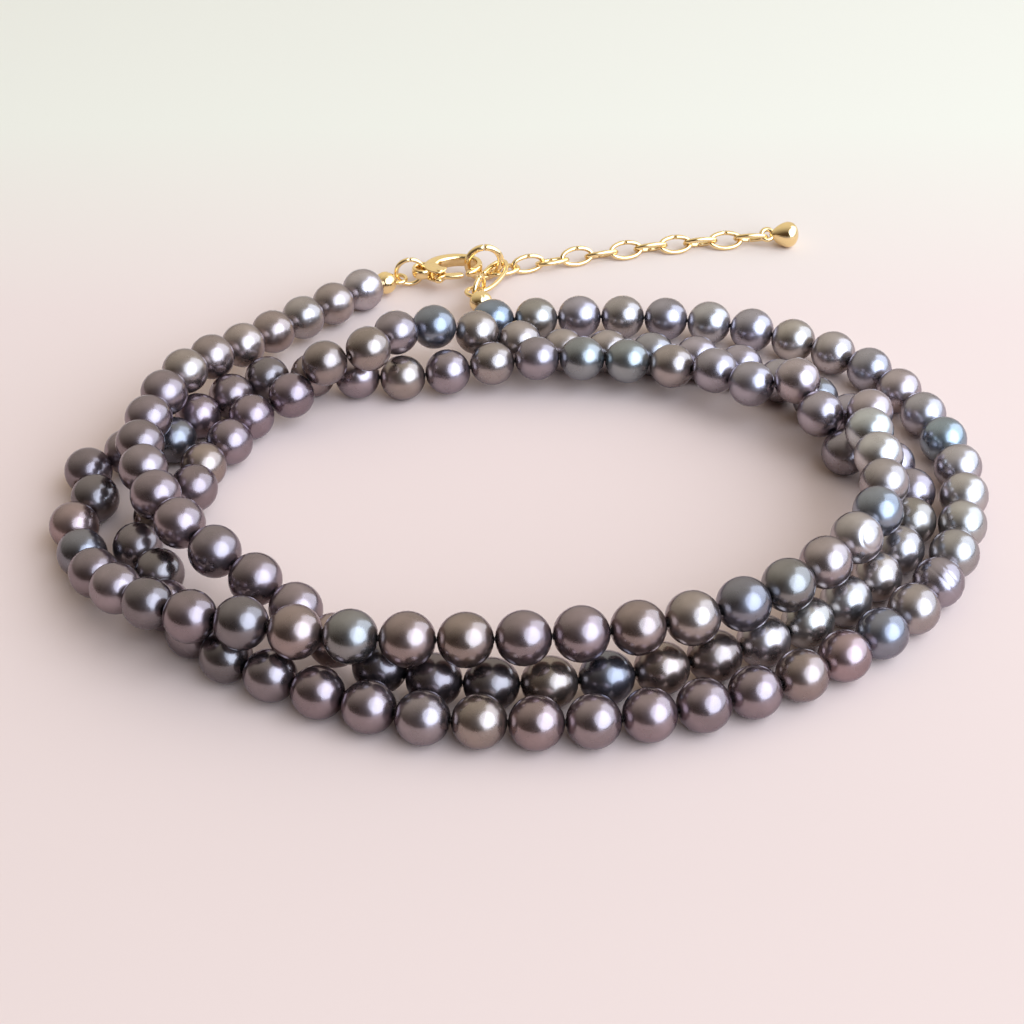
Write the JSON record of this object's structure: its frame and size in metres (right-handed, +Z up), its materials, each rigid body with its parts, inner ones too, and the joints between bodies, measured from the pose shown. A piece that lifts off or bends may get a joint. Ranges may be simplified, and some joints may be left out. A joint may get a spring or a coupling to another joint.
{
  "type": "pearl choker",
  "caption": "Long string of dark round pearls lying in a flat coil, closed by a lobster clasp hooked into the first ring of a short extender chain with a ball drop.",
  "frame": {"origin": "middle of the base of the coiled choker's box, on the surface it lies on", "axes": "+Z up from the surface; +Y from the front of the coil to its clasp; +X to the right, where the extender chain points"},
  "size_m": [0.094, 0.0944, 0.0099],
  "materials": {
    "pearl": "polished dark nacre, mauve-grey with a green and blue shimmer",
    "gold": "polished yellow gold plate"
  },
  "bodies": {
    "root": {"pearl_strand_01": "pearl", "pearl_strand_02": "pearl", "pearl_strand_03": "pearl", "pearl_strand_04": "pearl", "pearl_strand_05": "pearl", "pearl_strand_06": "pearl", "pearl_strand_07": "pearl", "pearl_strand_08": "pearl", "pearl_strand_09": "pearl", "pearl_strand_10": "pearl", "pearl_strand_11": "pearl", "pearl_strand_12": "pearl", "end_cap_1": "gold", "jump_ring_1": "gold", "hook_ring": "gold", "end_cap_2": "gold", "jump_ring_2": "gold", "long_link": "gold", "clasp_body": "gold", "extender_chain": "gold", "end_drop": "gold"},
    "lever": {"clasp_lever": "gold"}
  },
  "joints": [
    {"name": "clasp_lever_pivot", "type": "hinge", "parent": "root", "child": "lever", "pos_m": [-0.00988, 0.03447, 0.00205], "axis": [0, 0, 1], "range_deg": [0, 28], "stiffness_Nm_per_rad": 0.003}
  ]
}
